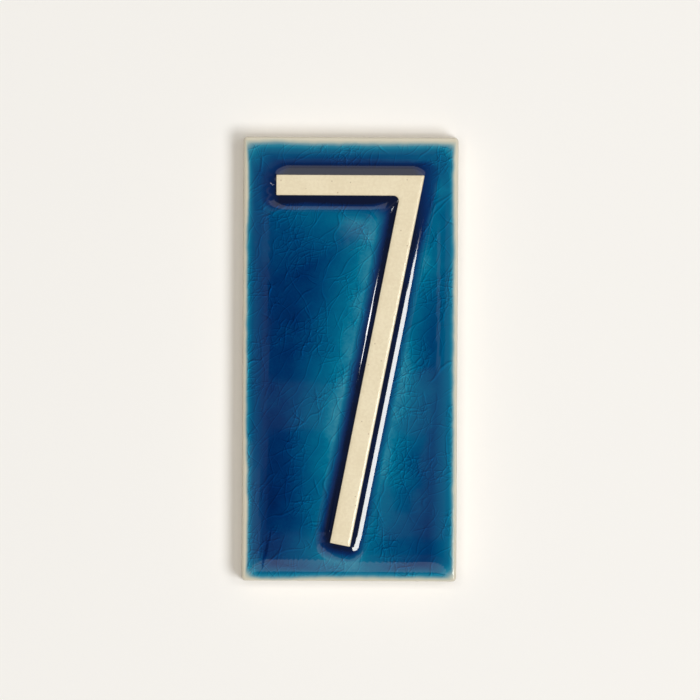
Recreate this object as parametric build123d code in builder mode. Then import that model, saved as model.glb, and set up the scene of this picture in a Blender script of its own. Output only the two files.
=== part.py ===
from build123d import *
from math import cos, radians, sin, tan
import os

# Slab, in millimetres and degrees. The back lies on y = 0 and the face looks towards -Y.
tile_width = 76.0
tile_height = 157.0
field_depth = 11.2
side_draft = 1.5
arris_radius = 1.1
corner_radius = 1.2

# The face falls away softly towards its four edges
edge_fall = 0.55
edge_band = 6.0
edge_radius = 60.0

# Raised figure seven: a level bar and a leaning leg of one stroke
relief = 2.2
stroke = 7.3
figure_left_margin = 11.7
figure_right_margin = 11.97
figure_top_margin = 13.65
figure_bottom_margin = 12.32
leg_lean = 11.08
figure_corner_radius = 0.3

# Wall of the figure: rounded shoulder, short straight land, hollow foot that runs out into the field
wall_slope = 58.0
shoulder_radius = 0.9
wall_land = 0.3
crotch_clearance = 0.2

# Keying grooves pressed into the bare back
groove_count = 4
groove_width = 8.0
groove_depth = 1.0
groove_edge_margin = 8.0
groove_corner_radius = 3.0

# Depth of the rim, where the sides meet the falling face
rim_depth = field_depth - edge_fall

# Corners of the figure on the face, x across and y up
lean = radians(leg_lean)
bar_left = figure_left_margin - tile_width / 2
bar_right = tile_width / 2 - figure_right_margin
bar_top = tile_height / 2 - figure_top_margin
bar_bottom = bar_top - stroke
leg_bottom = figure_bottom_margin - tile_height / 2
leg_toe = (bar_right - (bar_top - leg_bottom) * tan(lean), leg_bottom)
leg_heel = (leg_toe[0] - stroke * cos(lean), leg_toe[1] + stroke * sin(lean))
crotch = (bar_right - stroke / cos(lean) - stroke * tan(lean), bar_bottom)

# Wall sizes: the foot takes the slope that the shoulder and the land leave
bend = tan(radians(wall_slope / 2))
wall_run = relief / tan(radians(wall_slope))
foot_reach = relief / sin(radians(wall_slope)) - shoulder_radius * bend - wall_land
foot_radius = foot_reach / bend
crotch_radius = wall_run + foot_reach + crotch_clearance

groove_length = tile_height - 2 * groove_edge_margin
groove_pitch = (tile_width - 2 * groove_edge_margin - groove_width) / (groove_count - 1)


def slab_section(back_size):
    """Section of the slab: flat back, drafted sides, rounded arrises and a face that falls at its edges."""
    half_back = back_size / 2
    half_rim = half_back - rim_depth * tan(radians(side_draft))
    half_field = half_rim - edge_band
    with BuildSketch(mode=Mode.PRIVATE) as section:
        with BuildLine():
            Polyline(
                (-half_back, 0),
                (half_back, 0),
                (half_rim, -rim_depth),
                (half_field, -field_depth),
                (-half_field, -field_depth),
                (-half_rim, -rim_depth),
                close=True,
            )
        make_face()
        field_ends, rim_ends = section.vertices().group_by(Axis.Y)[:2]
        fillet(field_ends, radius=edge_radius)
        fillet(rim_ends, radius=arris_radius)
    return section.sketch


with BuildPart() as number_tile:
    # Slab, shared by its section across, its section along and its rounded outline
    with BuildSketch(Plane.XY.offset(-tile_height / 2)):
        add(slab_section(tile_width))
    extrude(amount=tile_height)
    with BuildSketch(Plane(origin=(tile_width / 2, 0, 0), x_dir=(0, 0, 1), z_dir=(-1, 0, 0))):
        add(slab_section(tile_height))
    extrude(amount=tile_width, mode=Mode.INTERSECT)
    with BuildSketch(Plane.XZ):
        RectangleRounded(tile_width, tile_height, corner_radius)
    extrude(amount=field_depth, mode=Mode.INTERSECT)

    # Figure, with walls that spread from its top down to the field
    figure_plane = Plane.XZ.offset(field_depth + relief)
    with BuildSketch(figure_plane) as figure:
        with BuildLine():
            Polyline(
                (bar_left, bar_bottom),
                (bar_left, bar_top),
                (bar_right, bar_top),
                leg_toe,
                leg_heel,
                crotch,
                close=True,
            )
        make_face()
        fillet(figure.vertices().sort_by_distance((*crotch, 0))[1:], radius=figure_corner_radius)
        fillet(figure.vertices().sort_by_distance((*crotch, 0))[0], radius=crotch_radius)
    extrude(amount=-relief)
    top, *rest = number_tile.faces().sort_by(Axis.Y)
    walls = [face for face in rest if face.center().Y < -field_depth - relief / 4]
    draft(walls, figure_plane, 90 - wall_slope)

    # Hollow foot, where the field meets the walls, and rounded shoulder
    field = number_tile.faces().filter_by(Plane.XZ).sort_by(Axis.Y)[1]
    fillet(field.inner_wires()[0].edges(), radius=foot_radius)
    fillet(number_tile.faces().sort_by(Axis.Y)[0].edges(), radius=shoulder_radius)

    # Grooves in the back
    with BuildSketch(Plane.XZ):
        with GridLocations(groove_pitch, 0, groove_count, 1):
            RectangleRounded(groove_width, groove_length, groove_corner_radius)
    extrude(amount=groove_depth, mode=Mode.SUBTRACT)

number_tile.part.label = "number_tile"
os.makedirs("parts", exist_ok=True)
export_step(number_tile.part, "parts/number_tile.step")
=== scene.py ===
import bmesh
import bpy
import math
from mathutils import Matrix, Vector, noise


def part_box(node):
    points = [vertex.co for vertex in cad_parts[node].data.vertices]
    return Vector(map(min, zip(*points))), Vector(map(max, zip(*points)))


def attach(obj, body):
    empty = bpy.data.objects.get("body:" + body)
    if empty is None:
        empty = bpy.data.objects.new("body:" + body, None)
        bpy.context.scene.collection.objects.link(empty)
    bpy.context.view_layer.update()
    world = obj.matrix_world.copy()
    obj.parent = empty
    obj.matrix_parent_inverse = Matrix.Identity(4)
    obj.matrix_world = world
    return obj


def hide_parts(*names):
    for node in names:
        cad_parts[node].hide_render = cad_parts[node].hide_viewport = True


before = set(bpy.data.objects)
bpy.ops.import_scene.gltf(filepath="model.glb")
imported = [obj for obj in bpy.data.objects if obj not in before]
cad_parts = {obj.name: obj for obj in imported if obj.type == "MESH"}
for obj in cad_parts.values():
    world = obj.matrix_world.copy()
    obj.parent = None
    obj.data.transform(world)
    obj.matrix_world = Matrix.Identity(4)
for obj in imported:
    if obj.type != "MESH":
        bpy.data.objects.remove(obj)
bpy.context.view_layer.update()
tileLow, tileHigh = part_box("number_tile")
mm = 0.001
halfWide = (tileHigh.x - tileLow.x) / 2
halfTall = (tileHigh.z - tileLow.z) / 2
topDepth = tileHigh.y - tileLow.y  # back of the tile to the top of the figure
claySlot, glazeSlot, figureSlot = range(3)


# Outline of the seven, walked clockwise from its top left corner, and its raised edge
seven = {
    "leftMargin": 11.7 * mm,
    "rightMargin": 11.97 * mm,
    "topMargin": 13.65 * mm,
    "bottomMargin": 12.32 * mm,
    "stroke": 7.3 * mm,
    "lean": math.radians(11.08),
    "cornerRadius": 0.35 * mm,
    "leastRadius": 0.05 * mm,
    "crotchRadius": 1.8 * mm,
    "crotchSpread": 0.4,  # radius gained for each mm away from the figure
    "relief": 2.2 * mm,
    "crownRadius": 4.8 * mm,  # the shoulder starts gently, then turns down
    "crownTurn": math.radians(17),
    "noseRadius": 0.25 * mm,
    "noseTurn": math.radians(76),
    "wallSlope": math.radians(82),
    "shoulderRings": 7,
    "wallRings": 2,
}

# Slab: falling edge, arris, drafted sides
slab = {
    "edgeReach": 8.7 * mm,
    "edgeFall": 0.55 * mm,
    "edgePower": 2.4,
    "rollReach": 2.6 * mm,  # and rolls over a little more close to the arris
    "rollFall": 0.08 * mm,
    "rollPower": 2,
    "cornerPower": 3,  # how the falls of two edges add up in a corner
    "arrisRadius": 1.1 * mm,
    "arrisStart": math.radians(9.7),
    "draft": math.radians(1.5),
    "cornerRadius": 1.2 * mm,
    "innerCorner": 0.35 * mm,
    "arrisRings": 9,
    "sideRings": 3,
}

# Glaze surface: it climbs to the figure and lies in slow ripples on the field
glazeBed = {
    "reach": 6.2 * mm,
    "rise": 1.15 * mm,
    "power": 2.2,
    "underRise": -0.08,  # less where it hangs below a stroke
    "cornerDips": (0.45, 0.45, 0.10, 0.45, 0.0, 0.45),  # it stands lower at outer corners
    "cornerSpan": 2.2 * mm,
    "closeRings": 30,
    "closeReach": 7.0 * mm,
    "closePower": 1.35,  # rows crowd together at the figure
    "fieldRings": 26,
    "rippleHeight": 0.0025 * mm,
    "rippleSize": 9.0 * mm,
    "rippleFade": 4 * mm,  # width at the rim where ripples die out
    "fineRipple": (2.3, 0.5),  # how much finer, and its share of the height
}

# Mesh steps along the outline: bar top, leg right, leg end, leg left, bar underside, bar end
outlineSteps = {
    "runs": (44, 100, 40, 92, 40, 16),
    "arc": 8,
    "stations": (20 * mm, 55 * mm),  # heights on the left side that the crotch and bar end run out to
    "stationSpan": 6 * mm,
    "straightTurn": 1e-6,  # a smaller turn is none
}

grooves = {
    "count": 4,
    "width": 8.0 * mm,
    "depth": 1.0 * mm,
    "edgeMargin": 8.0 * mm,
    "cornerRadius": 3.0 * mm,
    "cornerSteps": 6,
    "cornerProfile": 0.5,
}

fieldDepth = topDepth - seven["relief"]
sideInset = (fieldDepth - slab["edgeFall"]) * math.tan(slab["draft"])


def sevenCorners():
    left = -halfWide + seven["leftMargin"]
    right = halfWide - seven["rightMargin"]
    top = halfTall - seven["topMargin"]
    bottom = -halfTall + seven["bottomMargin"]
    stroke, lean = seven["stroke"], seven["lean"]
    toe = Vector((right - (top - bottom) * math.tan(lean), bottom))
    heel = toe + Vector((-math.cos(lean), math.sin(lean))) * stroke
    crotch = Vector((right - stroke / math.cos(lean) - stroke * math.tan(lean), top - stroke))
    return [Vector((left, top)), Vector((right, top)), toe, heel, crotch, Vector((left, top - stroke))]


def rimCorners():
    wide = halfWide - sideInset
    tall = halfTall - sideInset
    lower, upper = outlineSteps["stations"]
    return [
        Vector((-wide, tall)), Vector((wide, tall)), Vector((wide, -tall)),
        Vector((-wide, -tall)), Vector((-wide, lower)), Vector((-wide, upper)),
    ]


outline = sevenCorners()
rimOutline = rimCorners()


def within(value):
    return min(1.0, max(0.0, value))


def turnBy(arrow, angle):
    return Vector((
        arrow.x * math.cos(angle) - arrow.y * math.sin(angle),
        arrow.x * math.sin(angle) + arrow.y * math.cos(angle),
    ))


# Points and facings round one corner of an outline, at an offset from it
def cornerArc(before, corner, after, offset, roundOut, roundIn):
    goingIn = (corner - before).normalized()
    goingOut = (after - corner).normalized()
    sideIn = Vector((-goingIn.y, goingIn.x))
    sideOut = Vector((-goingOut.y, goingOut.x))
    mitre = corner + (sideIn + sideOut) * (offset / (1 + sideIn.dot(sideOut)))
    turn = math.atan2(goingIn.cross(goingOut), goingIn.dot(goingOut))
    shares = [step / outlineSteps["arc"] for step in range(outlineSteps["arc"] + 1)]
    if abs(turn) < outlineSteps["straightTurn"]:  # a station on a straight side
        span = outlineSteps["stationSpan"]
        return [(mitre + goingIn * (span * (share - 0.5)), sideIn) for share in shares]
    radius = roundOut if turn < 0 else roundIn
    side = 1 if turn < 0 else -1
    centre = mitre - goingIn * (radius * math.tan(abs(turn) / 2)) - sideIn * (radius * side)
    facings = [turnBy(sideIn, turn * share) for share in shares]
    return [(centre + facing * (radius * side), facing) for facing in facings]


# One closed row of points and facings at an offset from an outline, always with the same count
def ringPoints(corners, offset, roundOut, roundIn):
    arcs = []
    for i, corner in enumerate(corners):
        after = corners[(i + 1) % len(corners)]
        arcs.append(cornerArc(corners[i - 1], corner, after, offset, roundOut, roundIn))
    ring = []
    for i, arc in enumerate(arcs):
        start, facing = arc[-1]
        end = arcs[(i + 1) % len(arcs)][0][0]
        count = outlineSteps["runs"][i]
        ring += arc
        ring += [(start.lerp(end, step / count), facing) for step in range(1, count)]
    return ring


def figureRing(gap):
    corner = max(seven["cornerRadius"] + gap, seven["leastRadius"])
    crotch = seven["crotchRadius"] + max(0.0, seven["crotchSpread"] * gap)
    return ringPoints(outline, gap, corner, crotch)


def rimRing(inset):
    corner = max(slab["cornerRadius"] - inset, slab["innerCorner"])
    return [point for point, facing in ringPoints(rimOutline, -inset, corner, corner)]


def figureGap(point):
    gaps = []
    for i, corner in enumerate(outline):
        run = outline[i - 1] - corner
        share = within((point - corner).dot(run) / run.length_squared)
        gaps.append((point - corner - run * share).length)
    return min(gaps)


# Height the glaze climbs at a gap from the figure
def glazeClimb(gap, point, facing):
    root = point - facing * gap
    rise = glazeBed["rise"] * (1 + glazeBed["underRise"] * max(0.0, -facing.y))
    for corner, dip in zip(outline, glazeBed["cornerDips"]):
        rise *= 1 - dip * math.exp(-((root - corner).length / glazeBed["cornerSpan"]) ** 2)
    return rise * max(0.0, 1 - gap / glazeBed["reach"]) ** glazeBed["power"]


def rimInsets(point):
    return halfWide - sideInset - abs(point.x), halfTall - sideInset - abs(point.y)


def edgeFall(point):
    total = 0.0
    for inset in rimInsets(point):
        share = within(1 - inset / slab["edgeReach"])
        roll = within(1 - inset / slab["rollReach"])
        fall = slab["edgeFall"] * share ** slab["edgePower"] + slab["rollFall"] * roll ** slab["rollPower"]
        total += fall ** slab["cornerPower"]
    return total ** (1 / slab["cornerPower"])


def fieldHeight(point):
    place = Vector((point.x, point.y, 0)) / glazeBed["rippleSize"]
    finer, share = glazeBed["fineRipple"]
    ripple = noise.noise(place) + share * noise.noise(place * finer)
    still = within(min(rimInsets(point)) / glazeBed["rippleFade"])
    return fieldDepth - edgeFall(point) + glazeBed["rippleHeight"] * ripple * still


def lift(point, height):
    return Vector((point.x, -height, point.y))


# Grows the open loop of edges into the next row of points
def growRing(bm, loop, places, gaps, slot):
    order = {vert: i for i, vert in enumerate(loop)}
    rim = [bm.edges.get((loop[i - 1], loop[i])) for i in range(len(loop))]
    grown = bmesh.ops.extrude_edge_only(bm, edges=rim)["geom"]
    nextLoop = [None] * len(loop)
    for item in grown:
        if isinstance(item, bmesh.types.BMVert):
            root = next(e.other_vert(item) for e in item.link_edges if e.other_vert(item) in order)
            nextLoop[order[root]] = item
        elif isinstance(item, bmesh.types.BMFace):
            item.material_index = slot
            item.smooth = True
    gapLayer = bm.verts.layers.float["figureGap"]
    for vert, place, gap in zip(nextLoop, places, gaps):
        vert.co = place
        vert[gapLayer] = gap / mm
    return nextLoop


def creaseLoop(bm, loop):
    for i in range(len(loop)):
        bm.edges.get((loop[i - 1], loop[i])).smooth = False


def addObject(name, bm):
    mesh = bpy.data.meshes.new(name)
    bm.to_mesh(mesh)
    bm.free()
    made = bpy.data.objects.new(name, mesh)
    bpy.context.scene.collection.objects.link(made)
    return made


# Run and drop of each row over the shoulder of the figure
def shoulderSteps():
    crown, crownTurn = seven["crownRadius"], seven["crownTurn"]
    nose, noseTurn = seven["noseRadius"], seven["noseTurn"]
    steps = []
    for step in range(1, seven["shoulderRings"] + 1):
        angle = crownTurn * step / seven["shoulderRings"]
        steps.append((crown * math.sin(angle), crown * (1 - math.cos(angle))))
    crownRun, crownDrop = steps[-1]
    for step in range(1, seven["shoulderRings"] + 1):
        angle = crownTurn + (noseTurn - crownTurn) * step / seven["shoulderRings"]
        run = crownRun + nose * (math.sin(angle) - math.sin(crownTurn))
        steps.append((run, crownDrop + nose * (math.cos(crownTurn) - math.cos(angle))))
    return steps


# Figure top, rounded shoulder and the bare wall down to the glaze line
def raiseFigure(bm):
    shoulder = shoulderSteps()
    shoulderRun, shoulderDrop = shoulder[-1]
    shoulderFoot = topDepth - shoulderDrop
    wallRun = (shoulderFoot - fieldDepth - glazeBed["rise"]) / math.tan(seven["wallSlope"])
    first = [lift(point, topDepth) for point, facing in figureRing(-wallRun - shoulderRun)]
    loop = [bm.verts.new(place) for place in first]
    top = bm.faces.new(loop)
    top.material_index = figureSlot
    top.smooth = True
    for run, drop in shoulder:
        gap = run - shoulderRun - wallRun
        places = [lift(point, topDepth - drop) for point, facing in figureRing(gap)]
        loop = growRing(bm, loop, places, [gap] * len(loop), figureSlot)
    contact = [fieldDepth + glazeClimb(0, point, facing) for point, facing in figureRing(0)]
    for step in range(1, seven["wallRings"] + 1):
        share = step / seven["wallRings"]
        gap = -wallRun * (1 - share)
        places = []
        for (point, facing), low in zip(figureRing(gap), contact):
            places.append(lift(point, shoulderFoot + (low - shoulderFoot) * share))
        loop = growRing(bm, loop, places, [gap] * len(loop), figureSlot)
    creaseLoop(bm, loop)
    print("figure raised:", len(bm.faces), "faces")
    return loop


# Glaze hollow round the figure, then the open field out to the arris
def layGlaze(bm, loop):
    for step in range(1, glazeBed["closeRings"] + 1):
        gap = glazeBed["closeReach"] * (step / glazeBed["closeRings"]) ** glazeBed["closePower"]
        places = []
        for point, facing in figureRing(gap):
            places.append(lift(point, fieldHeight(point) + glazeClimb(gap, point, facing)))
        loop = growRing(bm, loop, places, [gap] * len(loop), glazeSlot)
    near = [point for point, facing in figureRing(glazeBed["closeReach"])]
    far = rimRing(slab["arrisRadius"] * (1 - math.sin(slab["arrisStart"])))
    for step in range(1, glazeBed["fieldRings"] + 1):
        share = math.sin(step / glazeBed["fieldRings"] * math.pi / 2)  # rows close up towards the edge
        points = [a.lerp(b, share) for a, b in zip(near, far)]
        gaps = [figureGap(point) for point in points]
        loop = growRing(bm, loop, [lift(point, fieldHeight(point)) for point in points], gaps, glazeSlot)
    print("glaze field laid:", len(bm.faces), "faces")
    return loop, gaps, [fieldHeight(point) for point in far]


# Arris, drafted side and flat back
def closeSlab(bm, loop, gaps, brink):
    start, end = slab["arrisStart"], math.pi / 2 - slab["draft"]
    for step in range(1, slab["arrisRings"] + 1):
        angle = start + (end - start) * step / slab["arrisRings"]
        drop = slab["arrisRadius"] * (math.cos(start) - math.cos(angle))
        ring = rimRing(slab["arrisRadius"] * (1 - math.sin(angle)))
        places = [lift(point, high - drop) for point, high in zip(ring, brink)]
        loop = growRing(bm, loop, places, gaps, glazeSlot)
    shoulders = [-vert.co.y for vert in loop]
    outer = [Vector((vert.co.x, vert.co.z)) for vert in loop]
    foot = rimRing(-sideInset)
    for step in range(1, slab["sideRings"] + 1):
        share = step / slab["sideRings"]
        places = []
        for a, b, high in zip(outer, foot, shoulders):
            places.append(lift(a.lerp(b, share), high * (1 - share)))
        loop = growRing(bm, loop, places, gaps, claySlot)
    creaseLoop(bm, loop)
    back = bm.faces.new(loop)
    back.material_index = claySlot
    bmesh.ops.recalc_face_normals(bm, faces=bm.faces)
    print("slab closed:", len(bm.faces), "faces")


def buildTile():
    bm = bmesh.new()
    bm.verts.layers.float.new("figureGap")
    loop = raiseFigure(bm)
    loop, gaps, brink = layGlaze(bm, loop)
    closeSlab(bm, loop, gaps, brink)
    return addObject("glazedTile", bm)


def pressGrooves(tile):
    bm = bmesh.new()
    span = 2 * (halfWide - grooves["edgeMargin"]) - grooves["width"]
    size = (grooves["width"], 2 * grooves["depth"], 2 * (halfTall - grooves["edgeMargin"]))
    for i in range(grooves["count"]):
        across = -span / 2 + span * i / (grooves["count"] - 1)
        made = bmesh.ops.create_cube(bm, size=1)["verts"]
        bmesh.ops.scale(bm, vec=size, verts=made)
        bmesh.ops.translate(bm, vec=(across, 0, 0), verts=made)
    uprights = [e for e in bm.edges if abs(e.verts[0].co.y - e.verts[1].co.y) > grooves["depth"]]
    bmesh.ops.bevel(
        bm, geom=uprights, offset=grooves["cornerRadius"], affect="EDGES",
        segments=grooves["cornerSteps"], profile=grooves["cornerProfile"], material=-1,
    )
    tool = addObject("grooveTool", bm)
    cut = tile.modifiers.new("grooves", "BOOLEAN")
    cut.operation = "DIFFERENCE"
    cut.solver = "EXACT"
    cut.object = tool
    bpy.context.view_layer.objects.active = tile
    bpy.ops.object.modifier_apply(modifier=cut.name)
    bpy.data.objects.remove(tool)
    print("grooves pressed:", len(tile.data.polygons), "faces")


# Small helpers for shader trees
def setInputs(tree, node, inputs):
    for socket, value in inputs.items():
        if isinstance(value, bpy.types.NodeSocket):
            tree.links.new(value, node.inputs[socket])
        else:
            node.inputs[socket].default_value = value


def addNode(tree, kind, inputs=None, **settings):
    node = tree.nodes.new(kind)
    for name, value in settings.items():
        setattr(node, name, value)
    setInputs(tree, node, inputs or {})
    return node


def maths(tree, operation, a, b=0.0, c=0.0):
    return addNode(tree, "ShaderNodeMath", {0: a, 1: b, 2: c}, operation=operation).outputs[0]


def vectorMaths(tree, operation, a, b, c=(0, 0, 0), output="Vector"):
    return addNode(tree, "ShaderNodeVectorMath", {0: a, 1: b, 2: c}, operation=operation).outputs[output]


def blend(tree, factor, a, b, mode="MIX"):
    colours = {0: factor, 6: a, 7: b}  # the colour sockets of this node
    return addNode(tree, "ShaderNodeMix", colours, data_type="RGBA", blend_type=mode).outputs[2]


def remap(tree, value, low, high, toLow=0.0, toHigh=1.0):
    span = {"Value": value, 1: low, 2: high, 3: toLow, 4: toHigh}
    return addNode(tree, "ShaderNodeMapRange", span, interpolation_type="SMOOTHSTEP").outputs[0]


def noiseAt(tree, place, size, detail=2.0, rough=0.5):
    look = {"Vector": place, "Scale": 1 / size, "Detail": detail, "Roughness": rough}
    return addNode(tree, "ShaderNodeTexNoise", look).outputs


def startMaterial(name):
    material = bpy.data.materials.new(name)
    material.use_nodes = True
    tree = material.node_tree
    return material, tree, tree.nodes["Principled BSDF"]


# Millimetre coordinates across the face of the tile
def facePlace(tree):
    place = addNode(tree, "ShaderNodeTexCoord").outputs["Object"]
    split = addNode(tree, "ShaderNodeSeparateXYZ", {0: place})
    flat = addNode(tree, "ShaderNodeCombineXYZ", {0: split.outputs[0], 1: split.outputs[2]}).outputs[0]
    return addNode(tree, "ShaderNodeVectorMath", {0: flat, "Scale": 1 / mm}, operation="SCALE").outputs[0]


# Place shaken by a slow noise
def bentPlace(tree, place, size, swing, detail=1.5):
    bend = noiseAt(tree, place, size, detail)["Color"]
    offset = vectorMaths(tree, "SUBTRACT", bend, (0.5, 0.5, 0.5))
    return vectorMaths(tree, "MULTIPLY_ADD", offset, (swing, swing, 0), place)


# Oval that fades from its middle to nothing at its edge
def softPool(tree, place, x, z, wide, tall, turn=0.0):
    oval = {
        "Vector": place, "Location": (x, z, 0),
        "Rotation": (0, 0, math.radians(turn)), "Scale": (wide, tall, 1),
    }
    spot = addNode(tree, "ShaderNodeMapping", oval, vector_type="TEXTURE").outputs[0]
    return addNode(tree, "ShaderNodeTexGradient", {0: spot}, gradient_type="SPHERICAL").outputs["Fac"]


def addPools(tree, place, value, pools):
    for *spot, weight in pools.values():
        pool = remap(tree, softPool(tree, place, *spot), 0.0, 1.0, 0.0, weight)
        value = maths(tree, "ADD", value, pool)
    return value


# Depth of the glaze colour over the face: soft pools, centre and half size in mm, then weight
glazePools = {
    "overBar": (-6, 75, 72, 15, 0.34),
    "barBrow": (-6, 66, 60, 8.5, 0.36),
    "barEnd": (-34, 60, 14, 18, 0.26),
    "underBar": (-25, 48, 30, 16, 0.26),
    "nook": (2, 54, 20, 6.5, 0.22),
    "topRight": (31, 52, 10, 22, 0.12),
    "lowLeft": (-20, -56, 22, 42, 0.24),
    "midRight": (28, 11, 11, 29, 0.22),
    "lowRight": (21, -36, 12, 26, 0.05),
    "toeShade": (12, -60, 14, 22, 0.14),
    "heelShade": (-8.0, -65.5, 5.5, 7, -0.12),
    "barTip": (26.5, 56, 5, 20, 0.12),
    "barCap": (-28.5, 62, 6, 9, 0.18),
}

# The glaze thins to the bare rim: side, bare width in mm, then depth of colour gained for each mm
glazeRims = {
    "leftRim": ("left", 0.55, 0.190),
    "leftBody": ("left", -7.4, 0.050),
    "rightRim": ("right", 0.4, 0.155),
    "rightBody": ("right", -4.2, 0.052),
    "topRim": ("top", 1.1, 0.101),
    "bottomRim": ("bottom", 0.3, 0.125),
}

# The bare rim narrows and widens: centre and half size in mm, then mm of glaze gained
rimSwells = {
    "rightTop": (37, 62, 8, 24, -0.5),
    "leftTop": (-37, 62, 8, 26, -0.45),
    "leftLow": (-37, -56, 8, 46, -0.7),
    "rightMid": (37, 5, 8, 44, -0.12),
    "topLeft": (-28, 77, 14, 8, 0.5),
    "bottomLeft": (-25, -77, 15, 8, 0.5),
    "bottomMid": (0, -77, 22, 8, -0.15),
}

# It draws back round the corners: up or down, then the same two over both insets added up
glazeCorners = {
    "upperCorners": (1, 1.3, 0.038),
    "lowerCorners": (-1, 1.6, 0.046),
}

# An old crack in the lower left that has filled with glaze
glazeFlaw = {
    "spot": (-29.0, -67.5, 9.0, 0.65, 79),  # centre, half length and half width in mm, heading in degrees
    "bend": (9.0, 2.4),  # size and swing in mm
    "edge": 0.5,
    "depth": 0.13,
    "shine": (0.0, 0.8, 0.5, 0.1),  # it shines less
}

glazeLook = {
    "halo": (0.9, 6.2, 1.0, 0.25),  # gap to the figure in mm, then colour depth
    "open": (4.0, 30.0, 0.0, 0.50),
    "mottle": (0.10, 9.0, 3.0, 0.55),  # weight, size in mm, detail and roughness of a noise
    "grain": (0.04, 0.9, 2.0, 0.6),
    "rimWander": (0.4, 7.0, 2.0, 0.5),  # the same, with mm for weight
    "noiseSpan": (0.2, 0.8),  # levels that a noise runs between
    "rimBlend": 0.08,
    "rimFade": (0.02, 0.20),  # colour depth over which the gloss sets in
    "rimRough": 0.14,
    "gloss": 0.022,
    "ior": 1.68,
}

glazeRamp = [
    (0.00, (0.690, 0.635, 0.500)),
    (0.08, (0.460, 0.515, 0.450)),
    (0.145, (0.190, 0.345, 0.390)),
    (0.22, (0.026, 0.226, 0.338)),
    (0.275, (0.010, 0.188, 0.309)),
    (0.31, (0.0012, 0.160, 0.282)),
    (0.35, (0.001, 0.130, 0.252)),
    (0.48, (0.0005, 0.090, 0.210)),
    (0.62, (0.0003, 0.055, 0.168)),
    (0.75, (0.0003, 0.029, 0.124)),
    (0.84, (0.0006, 0.0180, 0.094)),
    (1.00, (0.0030, 0.0072, 0.031)),
]

# Long cracks: heading in degrees, spacing, swing and its size in mm, then noise level where they show
crackSets = {
    "rising": (57, 4.2, 12.0, 19, 0.46),
    "shallow": (33, 6.0, 12.8, 16, 0.49),
    "upright": (84, 7.0, 12.8, 15, 0.49),
    "crossing": (122, 7.5, 12.0, 13, 0.56),
}

# Short cracks that close into cells: size and swing in mm, then noise level where they show
cellSets = {
    "coarse": (10.0, 3.0, 0.48),
    "fine": (5.0, 2.0, 0.54),
    "hair": (2.8, 1.3, 0.53),
}

crackLook = {
    "width": (0.07, 0.25),  # half width in mm, full and faded
    "flank": 0.38,  # mm from the dark line to its painted highlight
    "linePatch": 12.0,  # size in mm of the patches that show
    "cellPatch": 15.0,
    "patchDetail": 1.0,
    "patchEdge": 0.06,
    "cellBend": 5.0,  # size in mm of the bends in the cells
    "seedStep": 3.7,  # keeps the sets from bending alike
    "dark": 0.56,
    # weight of the painted highlight beside each crack, on the side towards the light
    "paintedHighlight": 0.46,
    "shade": (0.50, 0.46, 0.55, 1),  # both times the glaze colour
    # shine is the colour of that painted highlight
    "shine": (1.0, 1.60, 1.55, 1),
    "depthCover": (0.10, 0.26),  # none over the bare rim
    "gapCover": (1.5, 4.0),  # nor in the dark hollow by the figure, in mm
}


# Noise that swings evenly to both sides of nothing
def drift(tree, place, weight, *grain):
    cloud = noiseAt(tree, place, *grain)["Fac"]
    return remap(tree, cloud, *glazeLook["noiseSpan"], -weight / 2, weight / 2)


# Colour deepens where the glaze is thick: round the figure and out on the field
def glazeDepth(tree, place, gap):
    depth = maths(tree, "ADD", remap(tree, gap, *glazeLook["halo"]), remap(tree, gap, *glazeLook["open"]))
    depth = addPools(tree, place, depth, glazePools)
    for look in (glazeLook["mottle"], glazeLook["grain"]):
        depth = maths(tree, "ADD", depth, drift(tree, place, *look))
    return depth


# It runs thin at the rim, most of all along the top, and draws back round the corners
def thinAtRim(tree, place, depth):
    across, height = addNode(tree, "ShaderNodeSeparateXYZ", {0: place}).outputs[:2]
    wander = addPools(tree, place, drift(tree, place, *glazeLook["rimWander"]), rimSwells)
    wide, tall = (halfWide - sideInset) / mm, (halfTall - sideInset) / mm
    sides = {
        "left": (across, -wide), "right": (across, wide),
        "top": (height, tall), "bottom": (height, -tall),
    }
    limits = []
    for side, bare, gain in glazeRims.values():
        along, end = sides[side]
        limits.append((maths(tree, "ABSOLUTE", maths(tree, "SUBTRACT", along, end)), bare, gain))
    for end, bare, gain in glazeCorners.values():
        spread = maths(tree, "ADD", maths(tree, "ABSOLUTE", across), maths(tree, "MULTIPLY", height, end))
        limits.append((maths(tree, "SUBTRACT", wide + tall, spread), bare, gain))
    for inset, bare, gain in limits:
        glazed = maths(tree, "SUBTRACT", maths(tree, "ADD", inset, wander), bare)
        limit = maths(tree, "MULTIPLY", glazed, gain)
        depth = maths(tree, "SMOOTH_MIN", depth, limit, glazeLook["rimBlend"])
    return depth


def glazeColour(tree, depth):
    ramp = addNode(tree, "ShaderNodeValToRGB", {0: depth})
    stops = ramp.color_ramp.elements
    for stop, (at, colour) in zip(stops, (glazeRamp[0], glazeRamp[-1])):
        stop.position, stop.color = at, (*colour, 1)
    for at, colour in glazeRamp[1:-1]:
        stops.new(at).color = (*colour, 1)
    return ramp.outputs["Color"]


def shownPatches(tree, place, size, level):
    cloud = noiseAt(tree, place, size, crackLook["patchDetail"])["Fac"]
    return remap(tree, cloud, level - crackLook["patchEdge"], level + crackLook["patchEdge"])


def crackLine(tree, offset, shown):
    return maths(tree, "MULTIPLY", remap(tree, offset, *crackLook["width"], 1.0, 0.0), shown)
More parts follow.
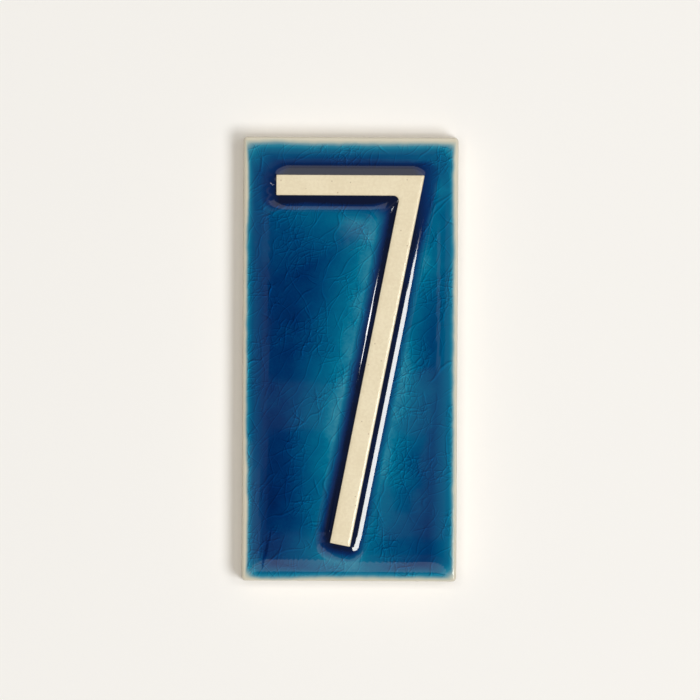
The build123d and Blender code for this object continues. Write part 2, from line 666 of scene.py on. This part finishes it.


# Dark line of one set of cracks, as long broken arcs, and beside it a painted highlight where light would
# catch the crack
def crackLines(tree, place, heading, spacing, swing, size, level):
    turn = math.radians(heading)
    seed = vectorMaths(tree, "ADD", place, (0, 0, crackLook["seedStep"] * heading))
    shown = shownPatches(tree, seed, crackLook["linePatch"], level)
    bent = bentPlace(tree, seed, size, swing)
    across = (-math.sin(turn) / spacing, math.cos(turn) / spacing, 0)
    count = vectorMaths(tree, "DOT_PRODUCT", bent, across, output="Value")
    offset = maths(tree, "SUBTRACT", maths(tree, "FRACT", count), 0.5)
    offset = maths(tree, "MULTIPLY", offset, spacing)
    lines = []
    # first the crack's own dark line, then its painted highlight
    for step in (0.0, crackLook["flank"]):
        reach = maths(tree, "ABSOLUTE", maths(tree, "ADD", offset, step))
        lines.append(crackLine(tree, reach, shown))
    return lines


# The same for short cracks that close into cells
def crackCells(tree, place, size, swing, level):
    shown = shownPatches(tree, place, crackLook["cellPatch"], level)
    bent = bentPlace(tree, place, crackLook["cellBend"], swing)
    lines = []
    # first the crack's own dark line, then its painted highlight
    for step in (0.0, crackLook["flank"]):
        moved = vectorMaths(tree, "ADD", bent, (-step, step, 0))
        cells = addNode(
            tree, "ShaderNodeTexVoronoi", {"Vector": moved, "Scale": 1 / size},
            voronoi_dimensions="2D", feature="DISTANCE_TO_EDGE",
        )
        reach = maths(tree, "MULTIPLY", cells.outputs["Distance"], size)
        lines.append(crackLine(tree, reach, shown))
    return lines


# Lays each dark crack line and its painted highlight over the glaze colour
def crackle(tree, place, colour, cover):
    cracks = [crackLines(tree, place, *look) for look in crackSets.values()]
    cracks += [crackCells(tree, place, *look) for look in cellSets.values()]
    for dark, paintedHighlight in cracks:
        dark = maths(tree, "MULTIPLY", dark, maths(tree, "MULTIPLY", cover, crackLook["dark"]))
        paintedHighlight = maths(tree, "MULTIPLY", paintedHighlight, maths(tree, "MULTIPLY", cover, crackLook["paintedHighlight"]))
        colour = blend(tree, paintedHighlight, colour, crackLook["shine"], "MULTIPLY")
        colour = blend(tree, dark, colour, crackLook["shade"], "MULTIPLY")
    return colour


def makeGlaze():
    material, tree, shader = startMaterial("blueGlaze")
    place = facePlace(tree)
    gap = addNode(tree, "ShaderNodeAttribute", attribute_name="figureGap").outputs["Fac"]
    depth = thinAtRim(tree, place, glazeDepth(tree, place, gap))
    bent = bentPlace(tree, place, *glazeFlaw["bend"])
    flaw = remap(tree, softPool(tree, bent, *glazeFlaw["spot"]), 0.0, glazeFlaw["edge"])
    depth = maths(tree, "ADD", depth, maths(tree, "MULTIPLY", flaw, glazeFlaw["depth"]))
    onGlaze = remap(tree, depth, *crackLook["depthCover"])
    cover = maths(tree, "MULTIPLY", onGlaze, remap(tree, gap, *crackLook["gapCover"]))
    setInputs(tree, shader, {
        "Base Color": crackle(tree, place, glazeColour(tree, depth), cover),
        "Roughness": remap(tree, depth, *glazeLook["rimFade"], glazeLook["rimRough"], glazeLook["gloss"]),
        "IOR": glazeLook["ior"],
        "Specular IOR Level": remap(tree, flaw, *glazeFlaw["shine"]),
    })
    return material


# Bare clay of the figure, in mm across the face
clayLook = {
    "pale": (0.870, 0.765, 0.548, 1),
    "warm": (0.814, 0.702, 0.490, 1),
    "speck": (0.36, 0.24, 0.13, 1),
    "rough": 0.15,
    "grain": (1.1, 3.0, 0.6),  # size, detail and roughness of a noise
    "cloud": (9.0, 2.0, 0.5),
    "grainShare": 0.6,
    "toneSpan": (0.38, 0.62),
    "speckScale": 0.45,  # cells for each mm
    "speckChoice": (0.88, 0.91),  # few of the cells have a speck
    "speckEdge": (0.06, 0.14),
    "speckWeight": 0.55,
    "bump": (0.2, 0.04 * mm),  # strength and height
}

# Bare clay of the sides and back, in metres
bodyLook = {
    "pale": (0.660, 0.585, 0.460, 1),
    "warm": (0.575, 0.490, 0.370, 1),
    "speck": (0.30, 0.20, 0.12, 1),
    "rough": 0.85,
    "grain": (0.9 * mm, 4.0, 0.65),
    "cloud": (14 * mm, 3.0, 0.5),
    "grainShare": 0.55,
    "toneSpan": (0.36, 0.64),
    "speckScale": 1 / (2.4 * mm),
    "speckEdge": (0.05, 0.16),
    "speckWeight": 0.6,
    "bump": (0.5, 0.12 * mm),
}


def mixClay(tree, shader, place, look, cells, chosen=1.0):
    grain = noiseAt(tree, place, *look["grain"])["Fac"]
    cloud = noiseAt(tree, place, *look["cloud"])["Fac"]
    cloudPart = maths(tree, "MULTIPLY", cloud, 1 - look["grainShare"])
    mixed = maths(tree, "ADD", maths(tree, "MULTIPLY", grain, look["grainShare"]), cloudPart)
    tone = blend(tree, remap(tree, mixed, *look["toneSpan"]), look["pale"], look["warm"])
    dot = remap(tree, cells.outputs["Distance"], *look["speckEdge"], look["speckWeight"], 0.0)
    strength, height = look["bump"]
    bump = addNode(tree, "ShaderNodeBump", {"Strength": strength, "Distance": height, "Height": grain})
    setInputs(tree, shader, {
        "Base Color": blend(tree, maths(tree, "MULTIPLY", dot, chosen), tone, look["speck"]),
        "Roughness": look["rough"],
        "Normal": bump.outputs[0],
    })


def makeFigureClay():
    material, tree, shader = startMaterial("figureClay")
    place = facePlace(tree)
    spots = {"Vector": place, "Scale": clayLook["speckScale"]}
    cells = addNode(tree, "ShaderNodeTexVoronoi", spots, voronoi_dimensions="2D")
    pick = addNode(tree, "ShaderNodeSeparateXYZ", {0: cells.outputs["Color"]}).outputs[0]
    mixClay(tree, shader, place, clayLook, cells, remap(tree, pick, *clayLook["speckChoice"]))
    return material


def makeBodyClay():
    material, tree, shader = startMaterial("bodyClay")
    place = addNode(tree, "ShaderNodeTexCoord").outputs["Object"]
    cells = addNode(tree, "ShaderNodeTexVoronoi", {"Vector": place, "Scale": bodyLook["speckScale"]})
    mixClay(tree, shader, place, bodyLook, cells)
    return material


studio = {
    "wallColour": (0.930, 0.910, 0.880, 1),
    "wallRough": 0.9,
    "wallSize": 4.0,
    "wallGap": 0.8 * mm,  # the wall stands just behind the tile
    "cameraAway": 2.5,
    "cameraUp": 3.2 * mm,
    "frameWide": 247.7 * mm,
    "sensorWide": 36.0,
    "roll": math.radians(-0.3),
    "fill": 0.07,  # room light on the tile
    "fillTint": (1.0, 0.99, 0.97, 1),
    "pale": 0.95,  # and the room as it is seen
    "paleTint": (1.0, 0.99, 0.98, 1),
    "cardsAway": 4.0,
    "cardStep": 4 * mm,
    "cardTint": (1, 0.98, 1, 1),
    "cornerSteps": 6,
    "cornerProfile": 0.3,
}

# Lamps: centre and size in metres, radiance, tint and whether the gloss shows them
lamps = {
    "keyLamp": {"at": (3.15, -6.0, -1.72), "disk": True, "size": (3.0, 3.0),
                "radiance": 12.6, "tint": (0.97, 1.0, 1.04), "gloss": False},
    "leftLamp": {"at": (-1.656, -3.0, 0.359), "disk": False, "size": (0.22, 0.046),
                 "radiance": 18.0, "tint": (1, 1, 1), "gloss": True},
    "rightFill": {"at": (2.6, -6.0, 0.9), "disk": True, "size": (1.6, 1.6),
                  "radiance": 8.0, "tint": (1, 1, 1), "gloss": False},
    "frontFill": {"at": (-0.48, -6.0, 0.3), "disk": False, "size": (3.0, 3.0),
                  "radiance": 5.5, "tint": (1.0, 0.955, 0.87), "gloss": False},
    "backFill": {"at": (0.5, 3.0, 0.3), "disk": False, "size": (1.0, 1.0),
                 "radiance": 12.0, "tint": (1, 1, 1), "gloss": False},
}

# The soft box as the gloss sees it, in metres
softBox = {
    "at": (1.295, -3.0, -0.839),
    "size": (0.70, 1.35),
    "corner": (0.31, 0.062),  # across and up
    "roll": math.radians(11.1),
    "tint": (1.0, 1.0, 0.935, 1),
    "glow": 12.8,
}

# A pale screen far to the left, for views from the right
sideScreen = {
    "at": (-4.52, -3.88, -2.57),
    "size": (1.2, 2.6),
    "corner": (0.2, 0.2),
    "roll": math.radians(25),
    "tint": (1.0, 1.0, 1.0, 1),
    "glow": 0.4,
}

# A small black flag that keeps the left spot off the foot of the seven
spotFlag = {
    "at": (-0.656, -1.0, -0.0025),
    "size": (0.12, 0.11),
    "corner": None,
    "roll": 0.0,
    "tint": (1.0, 1.0, 1.0, 1),
    "glow": 0.0,
}

# Cards that only the gloss sees: degrees across and up from the tile, then glow
# Later ones lie in front
cards = {
    "roomCard": ((-78, 78), (-4.9, 20.9), 0.05),
    "lowCard": ((-78, 78), (-78, -11.8), 0.05),
    "lowLeftCard": ((-78, -9), (-11.8, -4.9), 0.05),
    "lowRightCard": ((7, 78), (-11.8, -4.9), 0.05),
    "slitCard": ((-9, 7), (-11.8, -4.9), 0.60),
    "leftSlit": ((-9, -0.1), (-4.9, -3.9), 0.62),
    "hazeCard": ((-78, 78), (20.9, 28), 0.65),
    "topVeil": ((-9, 1.3), (6, 13), 0.12),
    "topLeftVeil": ((-9, -1.12), (2.05, 6), 0.08),
    "leftHaze": ((-26, -9), (1.6, 8), 0.11),
    "lowLeftHaze": ((-26, -9), (-3.9, -1.2), 0.22),
    "rightGlow": ((7.8, 14), (-0.6, 1.85), 0.10),
    "lensCard": ((-1.12, 7.8), (-2.75, 2.05), 0.0),
    "farLeftVeil": ((-9, -3.5), (-1.03, 1.85), 0.09),
    "leftVeil": ((-3.5, -1.12), (-1.03, 1.85), 0.13),
    "midLeftVeil": ((-9, -1.15), (-1.58, -1.03), 0.10),
    "lowLeftVeil": ((-9, -4.2), (-3.9, -1.58), 0.20),
    "bandVeil": ((-1.12, 0.4), (-1.03, -0.37), 0.08),
    "footVeil": ((-4.2, -0.1), (-3.9, -2.4), 0.07),
    "rightVeil": ((0.4, 9), (-2.45, -0.18), 0.10),
    "rightDark": ((0.51, 0.98), (-1.78, -1.08), 0.0),
    "lowDark": ((0.55, 0.82), (-2.15, -1.78), 0.0),
    "smallVeil": ((-0.1, 0.32), (1.49, 1.78), 0.40),
    "streakCard": ((2.6, 4.4), (-0.18, 1.6), 0.20),
    "leftSpot": ((-36.5, -31.5), (2.15, 2.8), 14.0),
}


def standCard(name, at, size, corner, roll, tint, glow):
    bm = bmesh.new()
    bmesh.ops.create_grid(bm, x_segments=1, y_segments=1, size=0.5)
    bmesh.ops.scale(bm, verts=bm.verts, vec=(*size, 1))
    if corner:
        across, up = corner
        bmesh.ops.scale(bm, verts=bm.verts, vec=(1, across / up, 1))
        bmesh.ops.bevel(
            bm, geom=bm.verts[:], offset=across, affect="VERTICES",
            segments=studio["cornerSteps"], profile=studio["cornerProfile"],
        )
        bmesh.ops.scale(bm, verts=bm.verts, vec=(1, up / across, 1))
    bmesh.ops.rotate(bm, verts=bm.verts, matrix=Matrix.Rotation(math.pi / 2, 3, "X"))
    bmesh.ops.rotate(bm, verts=bm.verts, matrix=Matrix.Rotation(roll, 3, "Y"))
    bmesh.ops.translate(bm, verts=bm.verts, vec=at)
    card = addObject(name, bm)
    material, tree, shader = startMaterial(name)
    setInputs(tree, shader, {
        "Base Color": (0, 0, 0, 1),
        "Specular IOR Level": 0.0,
        "Emission Color": tint,
        "Emission Strength": glow,
    })
    card.data.materials.append(material)
    card.visible_camera = False
    card.visible_diffuse = False
    card.visible_transmission = False
    card.visible_shadow = False


def standCards():
    standCard("softBox", **softBox)
    standCard("sideScreen", **sideScreen)
    standCard("spotFlag", **spotFlag)
    for i, (name, (across, up, glow)) in enumerate(cards.items()):
        away = studio["cardsAway"] - studio["cardStep"] * i
        left, right, low, high = (away * math.tan(math.radians(angle)) for angle in (*across, *up))
        at = ((left + right) / 2, -away, (low + high) / 2)
        standCard(name, at, (right - left, high - low), None, 0.0, studio["cardTint"], glow)


# The wall is clear from behind, so that the back of the tile can be looked at
def hangWall():
    bm = bmesh.new()
    bmesh.ops.create_grid(bm, x_segments=1, y_segments=1, size=studio["wallSize"] / 2)
    bmesh.ops.rotate(bm, verts=bm.verts, matrix=Matrix.Rotation(math.pi / 2, 3, "X"))
    bmesh.ops.translate(bm, verts=bm.verts, vec=(0, studio["wallGap"], 0))
    wall = addObject("wall", bm)
    material, tree, shader = startMaterial("wallPaint")
    setInputs(tree, shader, {
        "Base Color": studio["wallColour"],
        "Roughness": studio["wallRough"],
        "Specular IOR Level": 0.0,
    })
    clear = addNode(tree, "ShaderNodeBsdfTransparent")
    behind = addNode(tree, "ShaderNodeNewGeometry").outputs["Backfacing"]
    sides = addNode(tree, "ShaderNodeMixShader", {0: behind, 1: shader.outputs[0], 2: clear.outputs[0]})
    setInputs(tree, tree.nodes["Material Output"], {"Surface": sides.outputs[0]})
    wall.data.materials.append(material)
    wall.visible_shadow = False  # so that the back is lit too


def hangLamp(name, at, disk, size, radiance, tint, gloss):
    data = bpy.data.lights.new(name, "AREA")
    data.shape = "ELLIPSE" if disk else "RECTANGLE"
    data.size, data.size_y = size
    area = data.size * data.size_y * (math.pi / 4 if disk else 1)
    data.energy = radiance * math.pi * area
    data.color = tint
    lamp = bpy.data.objects.new(name, data)
    lamp.location = at
    lamp.rotation_euler = (math.copysign(math.pi / 2, -at[1]), 0, 0)  # square to the wall
    lamp.visible_camera = False
    lamp.visible_glossy = gloss
    bpy.context.scene.collection.objects.link(lamp)


# The room is pale where it is seen, and gives only a little light
def fillRoom():
    world = bpy.data.worlds.new("room")
    bpy.context.scene.world = world
    world.use_nodes = True
    tree = world.node_tree
    fill = tree.nodes["Background"]
    setInputs(tree, fill, {"Color": studio["fillTint"], "Strength": studio["fill"]})
    pale = addNode(tree, "ShaderNodeBackground", {"Color": studio["paleTint"], "Strength": studio["pale"]})
    rays = addNode(tree, "ShaderNodeLightPath").outputs
    seen = maths(tree, "MAXIMUM", rays["Is Camera Ray"], rays["Is Glossy Ray"])
    seen = maths(tree, "MAXIMUM", seen, rays["Is Transmission Ray"])
    room = addNode(tree, "ShaderNodeMixShader", {0: seen, 1: fill.outputs[0], 2: pale.outputs[0]})
    setInputs(tree, tree.nodes["World Output"], {"Surface": room.outputs[0]})


def aimCamera():
    lens = bpy.data.cameras.new("camera")
    lens.sensor_width = studio["sensorWide"]
    lens.lens = studio["sensorWide"] * studio["cameraAway"] / studio["frameWide"]
    camera = bpy.data.objects.new("camera", lens)
    camera.location = (0, -studio["cameraAway"], studio["cameraUp"])
    camera.rotation_euler = (math.pi / 2, studio["roll"], 0)
    bpy.context.scene.collection.objects.link(camera)
    bpy.context.scene.camera = camera


def buildStudio():
    bpy.context.scene.view_settings.view_transform = "Standard"
    hangWall()
    standCards()
    for name, look in lamps.items():
        hangLamp(name, **look)
    fillRoom()
    aimCamera()
    print("studio lit:", len(lamps), "lamps")


tile = buildTile()
pressGrooves(tile)
for material in (makeBodyClay(), makeGlaze(), makeFigureClay()):
    tile.data.materials.append(material)
print("materials made:", len(tile.data.materials))
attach(tile, "root")
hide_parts("number_tile")
buildStudio()
